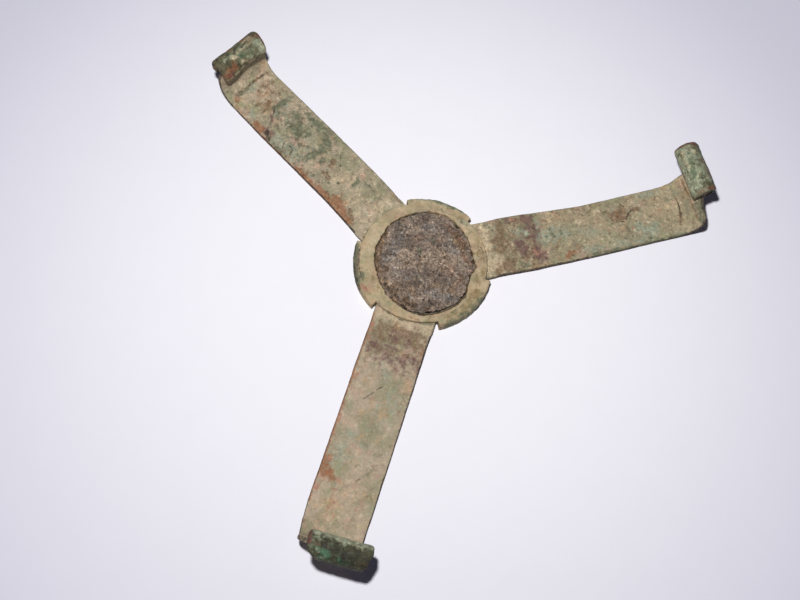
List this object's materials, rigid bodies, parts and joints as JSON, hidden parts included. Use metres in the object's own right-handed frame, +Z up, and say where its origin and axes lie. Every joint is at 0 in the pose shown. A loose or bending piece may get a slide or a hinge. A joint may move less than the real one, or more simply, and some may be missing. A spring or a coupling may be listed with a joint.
{
  "type": "burner stand",
  "caption": "Burner stand: flat strip arms clamped in a notched hub ring round a rusted core, with a slit-tube sleeve that slides sideways on each upturned arm end.",
  "frame": {"origin": "on the hub axis, in the plane of the table under the hub and the arms' outer ends", "axes": "+Z up along the hub axis, -Y along the front arm, +X to the right as the picture shows it"},
  "size_m": [0.1395, 0.1315, 0.0148],
  "materials": {
    "hub_bronze": "matt earth-coated patina",
    "arm_bronze": "matt earth-coated patina with red-brown patches",
    "sleeve_patina": "dark green-brown patina",
    "core_rust": "coarse rust and soil crust"
  },
  "bodies": {
    "stand": {"hub_ring": "hub_bronze", "base_ring": "hub_bronze", "core_plug": "core_rust", "front_arm": "arm_bronze", "right_arm": "arm_bronze", "left_arm": "arm_bronze"},
    "front_tip": {"front_sleeve": "sleeve_patina"},
    "right_tip": {"right_sleeve": "sleeve_patina"},
    "left_tip": {"left_sleeve": "sleeve_patina"}
  },
  "joints": [
    {"name": "front_sleeve_slide", "type": "slide", "parent": "stand", "child": "front_tip", "axis": [1, 0, 0], "range_m": [-0.0127, 0.0063]},
    {"name": "right_sleeve_slide", "type": "slide", "parent": "stand", "child": "right_tip", "axis": [-0.5299, 0.848, 0], "range_m": [-0.0157, 0.0033]},
    {"name": "left_sleeve_slide", "type": "slide", "parent": "stand", "child": "left_tip", "axis": [-0.5, -0.866, 0], "range_m": [-0.0097, 0.0093]}
  ]
}
